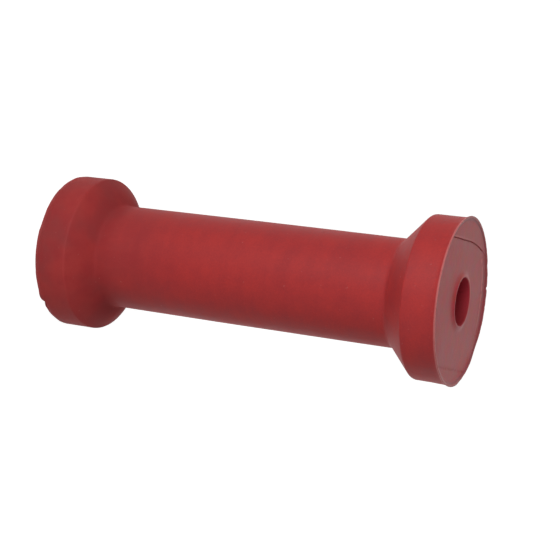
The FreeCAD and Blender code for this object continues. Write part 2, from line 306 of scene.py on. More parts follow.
# Cloudy unevenness: the size of its lumps, its seed and its detail
CLOUDS = {
    "lip": (0.009, 7, 2.0),
    "pared lip": (0.004, 7, 2.0),
    "skin edge": (0.005, 14, 2.0),
    "dish": (0.010, 9, 2.0),
    "slow waves": (0.034, 10, 2.0),
    "quick waves": (0.009, 11, 2.0),
    "broken skin": (0.0026, 13, 2.0),
    "ragged shade": (0.003, 15, 2.0),
    "pour bands": (0.0055, 31, 3.0),
    "drift": (0.032, 32, 3.0),
    "mottle": (0.0075, 33, 3.0),
    "grain": (0.0008, 34, 3.0),
    "flecks": (0.0016, 35, 1.0),
    "peel": (0.0024, 36, 2.0),
    "skin hue": (0.0045, 37, 3.0),
    "stains towards the moulded end": (0.020, 44, 2.0),
}
CUT_PLACE_SEED = 7
CUT_DEPTH_SEED = 8
BITE_SEED = 29


# Flows through a node tree


class Flow:
    """What comes out of a node. Numbers can be worked with as in plain arithmetic."""

    def __init__(self, socket):
        self.socket = socket
        self.tree = socket.id_data

    def work(self, operation, *others):
        node = self.tree.nodes.new("ShaderNodeMath")
        node.operation = operation
        for slot, value in zip(node.inputs, (self, *others)):
            feed(slot, value)
        return Flow(node.outputs[0])

    def __add__(self, other):
        return self.work("ADD", other)

    def __radd__(self, other):
        return self.work("ADD", other)

    def __neg__(self):
        return self.work("MULTIPLY", -1.0)

    def __sub__(self, other):
        return self.work("SUBTRACT", other)

    def __rsub__(self, other):
        return -self + other

    def __mul__(self, other):
        return self.work("MULTIPLY", other)

    def __truediv__(self, other):
        return self.work("DIVIDE", other)

    def __rtruediv__(self, other):
        return self**-1.0 * other

    def __pow__(self, other):
        return self.work("POWER", other)


def feed(slot, value):
    """Link a flow to a socket, or write a plain value there."""
    if isinstance(value, Flow):
        slot.id_data.links.new(value.socket, slot)
    else:
        slot.default_value = value


def node_flow(tree, kind, feeds=None, settings=None, output=None):
    """Add a node, with what goes into it and its settings, and return what comes out."""
    node = tree.nodes.new(kind)
    for name, value in (settings or {}).items():
        setattr(node, name, value)
    for name, value in (feeds or {}).items():
        feed(next(slot for slot in node.inputs if slot.enabled and slot.name == name), value)
    outputs = [slot for slot in node.outputs if slot.enabled]
    return Flow(next(slot for slot in outputs if output in (None, slot.name)))


def lesser(first, second):
    return first.work("MINIMUM", second)


def greater(first, second):
    return first.work("MAXIMUM", second)


def size_of(value):
    return value.work("ABSOLUTE")


def cosine(degrees):
    return degrees.work("RADIANS").work("COSINE")


def sine(degrees):
    return degrees.work("RADIANS").work("SINE")


def root(value):
    return greater(value, 0.0).work("SQRT")


def kept_within(value, low, high):
    return lesser(greater(value, low), high)


def hump(share):
    """1 half way along and 0 at both ends."""
    return share * (1.0 - share) * 4.0


def ease(value, start, end):
    """Rise smoothly from 0 at the start to 1 at the end."""
    feeds = {"Value": value, "From Min": start, "From Max": end}
    settings = {"interpolation_type": "SMOOTHSTEP"}
    return node_flow(value.tree, "ShaderNodeMapRange", feeds, settings)


def fade(value, name):
    """Rise smoothly from 0 where the named fade starts to 1 where it is full."""
    return ease(value, *FADES[name])


def blend(share, first, second):
    """The first value where the share is 0 and the second where it is 1."""
    return share * (second - first) + first


def weighed(values, weights):
    """Sum of the values that have a weight, each times that weight."""
    return sum(values[name] * weight for name, weight in weights.items())


def turn_from(bearing, start):
    """Turn in degrees from a start bearing, between -180 and 180."""
    return (bearing - start).work("WRAP", 180.0, -180.0)


def near_bearing(size, name, bearing):
    """1 at the middle of a named stretch, fading to 0 at its ends."""
    away = size_of(turn_from(bearing, size[f"{name} Bearing"]))
    return ease(away, size[f"{name} Half Angle"], 0.0)


def along_stretches(size, names, amount, bearing):
    """What several named stretches add up to at this bearing."""
    return sum(near_bearing(size, name, bearing) * size[f"{name} {amount}"] for name in names)


def place_at(x, y, z):
    tree = next(value for value in (x, y, z) if isinstance(value, Flow)).tree
    return node_flow(tree, "ShaderNodeCombineXYZ", {"X": x, "Y": y, "Z": z})


def split(place):
    node = place.tree.nodes.new("ShaderNodeSeparateXYZ")
    feed(node.inputs[0], place)
    return [Flow(output) for output in node.outputs]


def distance(first, second):
    node = first.tree.nodes.new("ShaderNodeVectorMath")
    node.operation = "DISTANCE"
    feed(node.inputs[0], first)
    feed(node.inputs[1], second)
    return Flow(node.outputs["Value"])


def scaled(direction, amount):
    feeds = {"Vector": direction, "Scale": amount}
    return node_flow(direction.tree, "ShaderNodeVectorMath", feeds, {"operation": "SCALE"})


def clouds(place, name):
    """Cloudy unevenness of a named kind, between about -0.5 and 0.5."""
    lump, seed, detail = CLOUDS[name]
    feeds = {"Vector": place, "W": float(seed), "Scale": 1 / lump, "Detail": detail}
    settings = {"noise_dimensions": "4D"}
    return node_flow(place.tree, "ShaderNodeTexNoise", feeds, settings, "Fac") - 0.5


def patches(place, name):
    """Cloudy patches of a named kind: 1 within them and 0 between them."""
    return fade(clouds(place, name), name)


def chance(number, low, high, seed):
    """A random value that belongs to this whole number."""
    feeds = {"Min": low, "Max": high, "ID": number, "Seed": seed}
    return node_flow(number.tree, "FunctionNodeRandomValue", feeds, {"data_type": "FLOAT"})


def pick(kind, number, choices):
    """The choice with this number."""
    node = number.tree.nodes.new("GeometryNodeIndexSwitch")
    node.data_type = kind
    while len(node.index_switch_items) < len(choices):
        node.index_switch_items.new()
    feed(node.inputs[0], number)
    for slot, choice in zip(node.inputs[1:], choices):
        feed(slot, choice)
    return Flow(node.outputs[0])


def keep_as(shape, name, value):
    """Write a value on the points under a name, by which nodes and material read it."""
    feeds = {"Geometry": shape, "Name": name, "Value": value}
    settings = {"data_type": "FLOAT", "domain": "POINT"}
    return node_flow(shape.tree, "GeometryNodeStoreNamedAttribute", feeds, settings)


def read_back(tree, name):
    settings = {"data_type": "FLOAT"}
    return node_flow(tree, "GeometryNodeInputNamedAttribute", {"Name": name}, settings)


def move_to(shape, place):
    feeds = {"Geometry": shape, "Position": place}
    return node_flow(shape.tree, "GeometryNodeSetPosition", feeds)


# Places on the roller


class Spot:
    """A point of the casting, with its radius and bearing about the bore axis, its height, its
    depth below the open-cast end, and whether it lies well outside the bore."""

    def __init__(self, size, place):
        self.place = place
        self.x, self.y, self.height = split(place)
        self.radius = (self.x**2 + self.y**2) ** 0.5
        self.bearing = self.y.work("ARCTAN2", self.x).work("DEGREES")
        self.below = size["Overall Length"] - self.height
        self.outside = self.radius.work("GREATER_THAN", size["Bore Radius"] * OUTSIDE)


def lip_radii(size):
    """Radii of the lip's crest, of its inside edge and of its foot in the dish."""
    crest = size["Rim Radius"] + size["Lip Flare"]
    inside = crest - size["Lip Width"]
    return crest, inside, inside - size["Lip Creep"]


def collar_radii(size):
    """Radii of the collar's edge and of its foot in the dish."""
    edge = size["Bore Radius"] + size["Collar Width"]
    return edge, edge + size["Collar Creep"]


def waist_ends(size):
    """Heights at which the two cones meet the waist."""
    lower = size["Moulded Rim Width"] + size["Moulded Shoulder Length"]
    upper = size["Overall Length"] - size["Cast Rim Width"] - size["Cast Shoulder Length"]
    return lower, upper


# The roller's half section


def section_corners(size):
    """Corners round the half section, each with its radius, height, rounding, steps in that
    rounding and the row pitch of the side that follows. The dish is still flat here."""
    top = size["Overall Length"]
    rim, waist, bore = size["Rim Radius"], size["Waist Radius"], size["Bore Radius"]
    crest, inside, lip_foot = lip_radii(size)
    collar, collar_foot = collar_radii(size)
    lower_waist, upper_waist = waist_ends(size)
    upper_cone = top - size["Cast Rim Width"]
    flare_bend = top - size["Lip Flare Length"] * FLARE_BEND
    flare_round = size["Lip Flare Length"] ** 2 / size["Lip Flare"] * FLARE_ARC
    pimple, pimple_rows = size["Pimple Height"], size["Pimple Rows Reach"]
    lap_start = size["Lap Distance"] - size["Lap Rows Before"]
    lap_stop = size["Lap Distance"] + size["Lap Rows Behind"]
    mouth, cast_mouth = size["Moulded Mouth Chamfer"], size["Cast Mouth Chamfer"]
    small = size["Small Round"]
    fine, side, edge = size["Fine Pitch"], size["Side Pitch"], size["Edge Pitch"]
    return [
        (bore, mouth, small, 2, edge),
        (bore + mouth, 0.0, small, 2, side),
        (rim, 0.0, size["Moulded Edge Round"], 5, edge),
        (rim, size["Moulded Rim Width"] * EDGE_ROWS, 0.0, 1, side),
        (rim, size["Moulded Rim Width"], size["Moulded Shoulder Round"], 3, side),
        (waist, lower_waist, size["Moulded Waist Fillet"], 3, size["Waist Pitch"]),
        (waist, pimple - pimple_rows, 0.0, 1, fine),
        (waist, pimple + pimple_rows, 0.0, 1, size["Waist Pitch"]),
        (waist, upper_waist, size["Cast Waist Fillet"], 6, side),
        (rim, upper_cone, size["Cast Shoulder Round"], 4, size["Cone Pitch"]),
        (rim, flare_bend, flare_round, 6, fine),
        (crest, top, small, 2, fine),
        (inside, top, 0.0, 1, fine),
        (lip_foot, top, 0.0, 1, size["Creep Pitch"]),
        (lap_stop, top, 0.0, 1, size["Crease Pitch"]),
        (lap_start, top, 0.0, 1, size["Dish Pitch"]),
        (collar_foot, top, 0.0, 1, size["Collar Pitch"]),
        (collar, top, 0.0, 1, fine),
        (bore + cast_mouth, top, small, 2, fine),
        (bore, top - cast_mouth, small, 2, size["Bore Pitch"]),
    ]


def rounded_outline(tree, size):
    """Closed outline of the half section, rounded at its corners."""
    corners = section_corners(size)
    radii, heights, roundings, steps, pitches = zip(*corners)
    places = [
        place_at(radius - size["Bore Radius"], -height, 0.0)
        for radius, height in zip(radii, heights)
    ]
    index = node_flow(tree, "GeometryNodeInputIndex")
    line = node_flow(tree, "GeometryNodeCurvePrimitiveLine")
    line = node_flow(tree, "GeometryNodeResampleCurve", {"Curve": line, "Count": len(corners)})
    line = move_to(line, pick("VECTOR", index, places))
    line = node_flow(tree, "GeometryNodeSetSplineCyclic", {"Geometry": line, "Cyclic": True})
    line = keep_as(line, "row_pitch", pick("FLOAT", index, pitches))
    feeds = {
        "Curve": line,
        "Count": pick("INT", index, steps),
        "Radius": pick("FLOAT", index, roundings),
        "Limit Radius": True,
    }
    return node_flow(tree, "GeometryNodeFilletCurve", feeds, {"mode": "POLY"})


def divide_into_rows(tree, line):
    """Divide each side of the half section into rows of about its own pitch."""
    feeds = {"Geometry": line}
    settings = {"component": "CURVE"}
    total = node_flow(tree, "GeometryNodeAttributeDomainSize", feeds, settings, "Point Count")
    index = node_flow(tree, "GeometryNodeInputIndex")
    here = node_flow(tree, "GeometryNodeInputPosition")
    feeds = {"Value": here, "Index": (index + 1.0).work("MODULO", total)}
    settings = {"data_type": "FLOAT_VECTOR", "domain": "POINT"}
    there = node_flow(tree, "GeometryNodeFieldAtIndex", feeds, settings)
    rows = (distance(here, there) / read_back(tree, "row_pitch")).work("ROUND")
    feeds = {"Curve": line, "Cuts": greater(rows - 1.0, 0.0)}
    return node_flow(tree, "GeometryNodeSubdivideCurve", feeds)


def turn_section(tree, size, section):
    """Carry the half section right round the bore axis."""
    feeds = {"Resolution": COLUMNS, "Radius": size["Bore Radius"]}
    ring = node_flow(tree, "GeometryNodeCurvePrimitiveCircle", feeds, {"mode": "RADIUS"})
    feeds = {"Curve": ring, "Profile Curve": section}
    shape = node_flow(tree, "GeometryNodeCurveToMesh", feeds)
    return node_flow(tree, "GeometryNodeFlipFaces", {"Mesh": shape})


# Knife work round the two ends


def cut_nick(size, name, crest, radius, bearing, from_end):
    """A three-cornered nick that runs into the outline at its own bearing."""
    away = size_of(turn_from(bearing, size[f"{name} Bearing"])).work("RADIANS") * crest
    share = greater(1.0 - away / (size[f"{name} Width"] / 2), 0.0)
    reach = crest - share * size[f"{name} Depth"]
    inside = fade(from_end / size[f"{name} Height"], "nick, foot")
    return blend(inside, radius, lesser(radius, reach))


def trim_moulded_edge(size, spot):
    """Flat knife cuts that follow each other round the moulded edge, deeper along some
    stretches, with the tooth that the knife missed and the notch beside it."""
    middle = (spot.bearing / size["Cut Angle"]).work("ROUND")
    cuts = []
    for neighbour in (-1.0, 0.0, 1.0):
        number = (middle + neighbour).work("WRAP", 360.0 / size["Cut Angle"], 0.0)
        wander = chance(number, -1.0, 1.0, CUT_PLACE_SEED) * size["Cut Wander"]
        spread = chance(number, -1.0, 1.0, CUT_DEPTH_SEED) * size["Cut Spread"]
        turn = turn_from(spot.bearing, number * size["Cut Angle"] + wander)
        cuts.append((size["Rim Radius"] - size["Cut Depth"] - spread) / cosine(turn))
    deeper = along_stretches(size, DEEP_CUTS, "Depth", spot.bearing)
    reach = reduce(lesser, cuts) - deeper + spot.height * size["Cut Slope"]
    tooth = near_bearing(size, "Tooth", spot.bearing) * ease(spot.height, size["Tooth Height"], 0.0)
    missed = tooth * (size["Cut Depth"] + size["Cut Spread"])
    trimmed = lesser(spot.radius, reach + missed) + tooth * size["Tooth Rise"]
    trimmed = cut_nick(size, "Edge Nick", size["Rim Radius"], trimmed, spot.bearing, spot.height)
    return blend(spot.outside, spot.radius, trimmed)


def knife_bites(size, bearing):
    """Small hollows side by side along one stretch of the lip, each of its own depth."""
    along = bearing / size["Bite Angle"]
    number = along.work("ROUND")
    stretch = root(near_bearing(size, "Bite", bearing))
    return hump(along - number + 0.5) * chance(number, 0.0, 1.0, BITE_SEED) * stretch


# Lip of the open-cast end


def flare_lip(size, spot, radius):
    """The lip flares fully along two stretches and less elsewhere, with bites along one side,
    and its flare runs further down on the underside."""
    _, inside, foot = lip_radii(size)
    under = near_bearing(size, "Underside Full", spot.bearing)
    over = near_bearing(size, "Top Full", spot.bearing)
    fullness = blend(greater(under, over), size["Lip Evenness"], 1.0)
    fullness = fullness + clouds(spot.place, "lip") * size["Lip Unevenness"]
    missing = greater(1.0 - fullness, 0.0) * size["Lip Flare"]
    missing = missing + knife_bites(size, spot.bearing) * size["Bite Depth"]
    climb = ease(spot.below, size["Lip Flare Length"], 0.0)
    radius = radius - missing * climb * ease(radius, foot, inside)

    along = spot.below / size["Flare Run"]
    run = fade(along, "flare's run, foot") * fade(along, "flare's run, top") * under
    run = run * fade(radius - size["Rim Radius"], "flare's run, outwards")
    return radius + run * size["Flare Run Rise"]


def pare_lip(size, spot, radius):
    """A knife took the flare off one stretch of the lip, and left two nicks."""
    away = size_of(turn_from(spot.bearing, size["Shave Bearing"])) - size["Shave Half Angle"]
    pared = fade(away, "shave, ends") * fade(spot.below / size["Lip Flare Length"], "shave, foot")
    left = size["Shave Allowance"] + clouds(spot.place, "pared lip") * size["Shave Unevenness"]
    radius = blend(pared, radius, lesser(radius, size["Rim Radius"] + left))
    crest, _, _ = lip_radii(size)
    for name in ("Upper Nick", "Lower Nick"):
        radius = cut_nick(size, name, crest, radius, spot.bearing, spot.below)
    return radius


def lower_lip(size, spot):
    """How far the lip stands below its full height."""
    _, inside, foot = lip_radii(size)
    drop = along_stretches(size, LOW_STRETCHES, "Drop", spot.bearing)
    drop = drop + knife_bites(size, spot.bearing) * size["Bite Drop"]
    return drop * ease(spot.radius, foot, inside) * fade(spot.below, "low stretch, foot")


# Face of the open-cast end


def lap_ring(size, bearing):
    """Radius at which the lap's edge crosses this bearing, and whether it is on the bend."""
    from_axis, bend = size["Lap Distance"], size["Lap Bend Radius"]
    centre_x, centre_y = bend - from_axis, size["Lap Bend Start"]
    across, along = cosine(bearing), sine(bearing)
    straight = from_axis / greater(-across, LEAST_ACROSS)
    toward = centre_x * across + centre_y * along
    far = toward**2 - centre_x**2 - centre_y**2 + bend**2
    bent = toward + root(far)
    on_bend = (along * straight).work("GREATER_THAN", size["Lap Bend Start"])
    return blend(on_bend, straight, bent), on_bend


def follow_lap(size, radius, ring, open_face):
    """Draw the rows of the dish along the lap's edge, so that its crease is crisp."""
    _, inside, _ = lip_radii(size)
    _, foot = collar_radii(size)
    nominal = size["Lap Distance"]
    before, behind = size["Lap Rows Before"], size["Lap Rows Behind"]
    furthest = inside - behind - size["Lap Rows Margin"]
    follows = fade(ring - furthest, "rows follow the lap")
    ring = blend(follows, nominal, lesser(ring, furthest))
    inner_start, outer_start = nominal - before, nominal + behind
    inner = (lesser(radius, inner_start) - foot) * (ring - before - foot) / (inner_start - foot)
    band = kept_within(radius, inner_start, outer_start) - inner_start
    outer_share = (inside - ring - behind) / (inside - outer_start)
    outer = (greater(radius, outer_start) - outer_start) * outer_share
    in_dish = radius.work("GREATER_THAN", foot) * inside.work("GREATER_THAN", radius) * open_face
    return blend(in_dish, radius, foot + inner + band + outer)


def past_lap_edge(size, x, y, on_bend):
    """Distance past the lap's edge, on to the lap."""
    from_axis, bend = size["Lap Distance"], size["Lap Bend Radius"]
    straight = -x - from_axis
    bent = root((x - (bend - from_axis)) ** 2 + (y - size["Lap Bend Start"]) ** 2) - bend
    return blend(on_bend, straight, bent)


def creep_rise(size, radius):
    """Height of the resin's skin above the dish floor: it creeps up the lip and the collar."""
    depth = size["Dish Depth"]
    lip_creep, collar_creep = size["Lip Creep"], size["Collar Creep"]
    _, _, lip_foot = lip_radii(size)
    _, collar_foot = collar_radii(size)
    lip_round = (lip_creep**2 + depth**2) / (depth * 2)
    collar_round = (collar_creep**2 + depth**2) / (depth * 2)
    past_lip = kept_within(radius - lip_foot, 0.0, lip_creep)
    past_collar = kept_within(collar_foot - radius, 0.0, collar_creep)
    lip_rise = lip_round - root(lip_round**2 - past_lip**2)
    collar_rise = collar_round - root(collar_round**2 - past_collar**2)
    return lip_rise + collar_rise


def lap_bead(size, past_edge):
    """1 along the middle of the lap's bead, fading to 0 at its sides."""
    return ease(size_of(past_edge - size["Lap Bead Set Back"]), size["Lap Bead Reach"], 0.0)


def off_crease(size, past_edge):
    """Distance from the crease in front of the lap, in shares of its reach."""
    return size_of(past_edge + size["Crease Set Forward"]) / size["Crease Reach"]


def open_crease(size, spot):
    """1 where the crease is open, fading to 0 where it closes up towards the back."""
    return fade(spot.y - size["Crease End"], "crease, end")


def past_tide(size, spot):
    """Distance past the faint groove across the lower part of the dish."""
    return spot.x - spot.y * size["Tide Slant"] - size["Tide Distance"]


def past_skin_edge(size, spot):
    """Distance outwards past the skin's wandering edge, in shares of its reach."""
    wander = clouds(spot.place, "skin edge") * size["Skin Edge Wander"]
    return (spot.radius - size["Skin Edge Radius"] + wander) / size["Skin Edge Reach"]


def skin_edge(size, spot):
    """1 along the skin's edge at the foot of the lip, fading to 0 at its sides and ends."""
    stretch = root(near_bearing(size, "Skin Edge", spot.bearing))
    return stretch * ease(size_of(past_skin_edge(size, spot)), 1.0, 0.0)


def shape_open_face(size, spot, past_edge):
    """Height of the open-cast face: the dish, the lap with its bead and crease, the faint groove
    and the skin's edge."""
    _, inside, foot = lip_radii(size)
    lap = size["Lap Height"] * ease(past_edge, -size["Lap Riser"], size["Lap Riser"])
    rise = greater(creep_rise(size, spot.radius), lap)

    bead = lap_bead(size, past_edge) * size["Lap Bead"] * fade(spot.y, "fresh bead")
    crease = ease(off_crease(size, past_edge), 1.0, 0.0) * size["Crease Depth"]
    crease = crease * open_crease(size, spot)
    rise = rise + (bead - crease) * fade(spot.radius - inside, "crease, clear of the lip")

    past = past_tide(size, spot)
    tide = ease(size_of(past), size["Tide Reach"], 0.0) * size["Tide Depth"]
    tide = tide + ease(past, 0.0, size["Tide Reach"]) * size["Tide Step"]
    wave = clouds(spot.place, "dish") * size["Face Wave"]
    rise = rise + (wave - tide) * ease(spot.radius, inside, foot)
    rise = rise + skin_edge(size, spot) * size["Skin Edge Rise"]
    return size["Overall Length"] - size["Dish Depth"] + lesser(rise, size["Dish Depth"])


# Rules that give the plain turned form the shape of the casting


def finish_rules(tree, size, shape):
    """Move every point of the turned form to where it lies on the casting."""
    turned = Spot(size, node_flow(tree, "GeometryNodeInputPosition"))
    flat_top = size["Overall Length"] - size["Small Round"] / 2
    open_face = turned.height.work("GREATER_THAN", flat_top)

    ring, on_bend = lap_ring(size, turned.bearing)
    radius = trim_moulded_edge(size, turned)
    radius = follow_lap(size, radius, ring, open_face)
    radius = flare_lip(size, turned, radius)
    radius = pare_lip(size, turned, radius)

    x, y = radius * cosine(turned.bearing), radius * sine(turned.bearing)
    spot = Spot(size, place_at(x, y, turned.height))
    past_edge = past_lap_edge(size, x, y, on_bend)
    height = blend(open_face, turned.height, shape_open_face(size, spot, past_edge))
    height = height - lower_lip(size, spot)
    shape = keep_as(shape, "open_skin", open_face)
    shape = keep_as(shape, "past_edge", past_edge)
    return move_to(shape, place_at(x, y, height))


def make_uneven(tree, size, shape):
    """The casting is never quite true: slow and quick waves, a waist that swells a little, and
    one pimple on it."""
    spot = Spot(size, node_flow(tree, "GeometryNodeInputPosition"))
    wave = clouds(spot.place, "slow waves") * size["Slow Wave"]
    wave = wave + clouds(spot.place, "quick waves") * size["Quick Wave"]
    lower_waist, upper_waist = waist_ends(size)
    along = (spot.height - lower_waist) / (upper_waist - lower_waist)
    swell = greater(hump(along), 0.0) * size["Waist Swell"]
    turn = turn_from(spot.bearing, size["Pimple Bearing"]).work("RADIANS")
    away = root((turn * size["Waist Radius"]) ** 2 + (spot.height - size["Pimple Height"]) ** 2)
    pimple = fade(away / size["Pimple Reach"], "pimple") * size["Pimple Rise"]
    free = fade(spot.height, "waves, above the edge") * fade(spot.below, "waves, below the lip")
    rise = (wave + swell + pimple) * free * spot.outside
    offset = scaled(node_flow(tree, "GeometryNodeInputNormal"), rise)
    return node_flow(tree, "GeometryNodeSetPosition", {"Geometry": shape, "Offset": offset})


# Marks that the material reads


# Side of the bore that carries painted highlights on its mouth and collar
def highlit_side(size, spot):
    return near_bearing(size, "Highlit Mouth", spot.bearing)


def wear_and_highlights(size, spot):
    """Painted highlight along the crest of the lip and, weaker, on one side of the bore's mouth;
    faint pale wear on the moulded edge.
    """
    _, inside, _ = lip_radii(size)
    lip = fade(spot.below, "highlit lip, upwards") * fade(spot.radius - inside, "highlit lip, outwards")
    off_rim = spot.radius - size["Rim Radius"]
    edge = fade(spot.height, "worn edge, downwards") * fade(off_rim, "worn edge, outwards")
    off_bore = spot.radius - size["Bore Radius"]
    mouth = fade(spot.below, "highlit mouth, upwards") * fade(off_bore, "highlit mouth, inwards")
    mouth = mouth * highlit_side(size, spot)
    return greater(greater(lip, edge * MOULDED_EDGE_WEAR), mouth * MOUTH_HIGHLIGHT)


def pale_skin_and_highlights(size, spot, past_edge):
    """Where the skin is paler at its broken edge, with painted highlights on the bead along the lap
    and on the collar.
    """
    _, inside, _ = lip_radii(size)
    collar, _ = collar_radii(size)
    broken = skin_edge(size, spot) * patches(spot.place, "broken skin")
    bead = lap_bead(size, past_edge) * fade(spot.y, "highlit bead, towards the front")
    bead = bead * fade(spot.radius - inside, "highlit bead, inwards")
    mouth = fade(spot.radius - collar, "highlit collar") * highlit_side(size, spot)
    return greater(greater(broken, bead * BEAD_HIGHLIGHT), mouth * COLLAR_HIGHLIGHT)


def shade_by_lip(size, spot):
    """Painted shade on the inside wall of the lip, and in ragged patches beyond the skin's edge."""
    crest, inside, _ = lip_radii(size)
    beyond = near_bearing(size, "Skin Edge", spot.bearing)
    beyond = beyond * fade(past_skin_edge(size, spot), "beyond the skin edge")
    wall = fade(spot.radius - inside, "shaded wall, outwards") * ease(spot.radius, crest, inside)
    wall = wall * fade(spot.below, "shaded wall, downwards")
    return greater(beyond * patches(spot.place, "ragged shade"), wall)


def shade_in_creases(size, spot, past_edge):
    """Painted shade in the crease in front of the lap, and less of it along the faint groove."""
    _, inside, _ = lip_radii(size)
    off_lip = spot.radius - inside
    crease = fade(off_crease(size, past_edge), "shaded crease") * open_crease(size, spot)
    crease = crease * fade(off_lip, "shaded crease, clear of the lip")
    tide = fade(size_of(past_tide(size, spot)) / size["Tide Reach"], "shaded tide")
    tide = tide * fade(off_lip, "shaded tide, inwards")
    return greater(crease, tide * TIDE_SHADE)


def lower_corner(size, spot):
    """Matt corner where the moulded cone meets the waist."""
    lower_waist, _ = waist_ends(size)
    corner = fade(size_of(spot.height - lower_waist), "corner, lengthwise")
    return corner * fade(spot.radius - size["Rim Radius"], "corner, inwards")


def mark_wear_and_painted_light(tree, size, shape):
    """Write on the points how far each mark covers them: the finish, wear, and painted highlights and
    painted shade.
    """
    spot = Spot(size, node_flow(tree, "GeometryNodeInputPosition"))
    past_edge = read_back(tree, "past_edge")
    open_skin = read_back(tree, "open_skin")
    marks = {
        "wear_and_highlight": wear_and_highlights(size, spot),
        "pale_skin_and_highlight": pale_skin_and_highlights(size, spot, past_edge) * open_skin,
        "lip_shade": shade_by_lip(size, spot) * open_skin,
        "crease_shade": shade_in_creases(size, spot, past_edge) * open_skin,
        "in_corner": lower_corner(size, spot),
        "in_bore": fade(spot.radius - size["Bore Radius"], "wall of the bore"),
    }
    for name, mark in marks.items():
        shape = keep_as(shape, name, mark)
    return shape


# The casting


def build_casting_tree():
    tree = bpy.data.node_groups.new("keel_roller_casting", "GeometryNodeTree")
    tree.interface.new_socket("Casting", in_out="OUTPUT", socket_type="NodeSocketGeometry")
    for name, value in SIZES.items():
        socket = tree.interface.new_socket(name, in_out="INPUT", socket_type="NodeSocketFloat")
        socket.default_value = value
    tree.interface.new_socket("Finish", in_out="INPUT", socket_type="NodeSocketMaterial")
    entry = tree.nodes.new("NodeGroupInput")
    size = {name: Flow(entry.outputs[name]) for name in SIZES}

    section = divide_into_rows(tree, rounded_outline(tree, size))
    shape = turn_section(tree, size, section)
    shape = finish_rules(tree, size, shape)
    feeds = {"Geometry": shape, "Distance": size["Weld Distance"]}
    shape = node_flow(tree, "GeometryNodeMergeByDistance", feeds)
    shape = make_uneven(tree, size, shape)
    shape = mark_wear_and_painted_light(tree, size, shape)
    shape = node_flow(tree, "GeometryNodeSetShadeSmooth", {"Geometry": shape})
    shape = node_flow(tree, "GeometryNodeRealizeInstances", {"Geometry": shape})
    feeds = {"Geometry": shape, "Material": Flow(entry.outputs["Finish"])}
    shape = node_flow(tree, "GeometryNodeSetMaterial", feeds)
    leave = tree.nodes.new("NodeGroupOutput")
    feed(leave.inputs[0], shape)
    return tree


def add_object(name, data):
    added = bpy.data.objects.new(name, data)
    bpy.context.scene.collection.objects.link(added)
    return added


def make_casting(material):
    """Run the nodes once and keep the result as a plain mesh."""
    piece = add_object(PIECE, bpy.data.meshes.new(PIECE))
    tree = build_casting_tree()
    modifier = piece.modifiers.new("Casting", "NODES")
    modifier.node_group = tree
    for item in tree.interface.items_tree:
        if item.in_out == "INPUT":
            modifier[item.identifier] = material if item.name == "Finish" else SIZES[item.name]
    evaluated = piece.evaluated_get(bpy.context.evaluated_depsgraph_get())
    mesh = bpy.data.meshes.new_from_object(evaluated)
    piece.modifiers.clear()
    piece.data = mesh
    mesh.name = PIECE
    return piece


# Finish of the polyurethane

# Resin colours, as linear red, green and blue
DEEP_RESIN = (0.318, 0.0185, 0.0210, 1.0)
WARM_RESIN = (0.420, 0.0262, 0.0243, 1.0)
# Painted shade: darker, greyer resin towards the moulded end, with stains in it
END_SHADE_RESIN = (0.385, 0.0345, 0.0320, 1.0)
STAINED_RESIN = (0.275, 0.0310, 0.0315, 1.0)
# Painted highlight on the lip's crest and the bore's mouth, and pale wear on the moulded edge
PALE_WEAR_AND_HIGHLIGHT = (0.540, 0.1400, 0.1350, 1.0)
# Pale broken skin edge, and painted highlights on the lap's bead and the collar
PALE_SKIN_AND_HIGHLIGHT = (0.800, 0.1700, 0.1600, 1.0)
# Painted shade on the lip's inside wall and beyond the skin's edge
LIP_SHADE = (0.230, 0.0500, 0.0650, 1.0)
CAST_SKIN = (0.620, 0.0480, 0.0480, 1.0)
DEEP_SKIN = (0.370, 0.0280, 0.0320, 1.0)
BROWN_SKIN = (0.490, 0.0440, 0.0240, 1.0)
VIOLET_SKIN = (0.520, 0.0260, 0.0580, 1.0)
# Painted light and shade in the bore: lit towards -X, shaded towards +X
SHADED_BORE = (0.300, 0.0150, 0.0240, 1.0)
LIT_BORE = (0.520, 0.0150, 0.0400, 1.0)
# Painted shade in the crease and along the faint groove
CREASE_SHADE = (0.110, 0.0060, 0.0070, 1.0)
DUST = (0.480, 0.1800, 0.1700, 1.0)

# The colour lies half way from deep to warm resin, and these move it to either side; the weight
# towards the moulded end is painted shade
HALF_WAY = 0.5
DEPTH_WEIGHTS = {"drift": 1.3, "end_shade": -0.45, "mottle": 1.5, "bands": 1.0, "grain": 1.6}
# How far the painted shade covers the moulded end, and how much mottle changes that
END_SHADE_COVER = 0.8
END_SHADE_MOTTLE = 2.0
# Share of the skin's colour that its hue makes up
HUE_SHARE = 0.5
# How far each layer covers what lies under it, and what breaks up the layer of painted highlight and
# wear
COVER = {"in_bore": 0.9, "flecks": 0.25, "lip_shade": 0.7, "pale_skin_and_highlight": 0.8, "crease_shade": 0.5}
WEAR_AND_HIGHLIGHT_WEIGHTS = {"mottle": 1.2, "grain": 0.9}

# Roughness on the mould's side and on the open-cast skin, what changes it, and its limits
MOULDED_ROUGHNESS = 0.56
CAST_ROUGHNESS = 0.46
ROUGHNESS_WEIGHTS = {
    "mottle": 0.14,
    "drift": 0.08,
    "grain": 0.12,
    "end_shade": 0.14,
    "crease_shade": 0.2,
    "in_bore": 0.25,
    "in_corner": 0.2,
}
GLOSSIEST, MATTEST = 0.25, 0.9

RESIN_IOR = 1.36
# Shallow unevenness of the surface, like orange peel, with some grain in it
PEEL_GRAIN = 0.5
PEEL_STRENGTH = 0.35
PEEL_DEPTH = 0.00012
# The bands run round the roller, so their clouds hardly change across it
BAND_SQUEEZE = 0.12

MARKS = ("open_skin", "in_bore", "in_corner", "wear_and_highlight", "crease_shade", "lip_shade", "pale_skin_and_highlight")


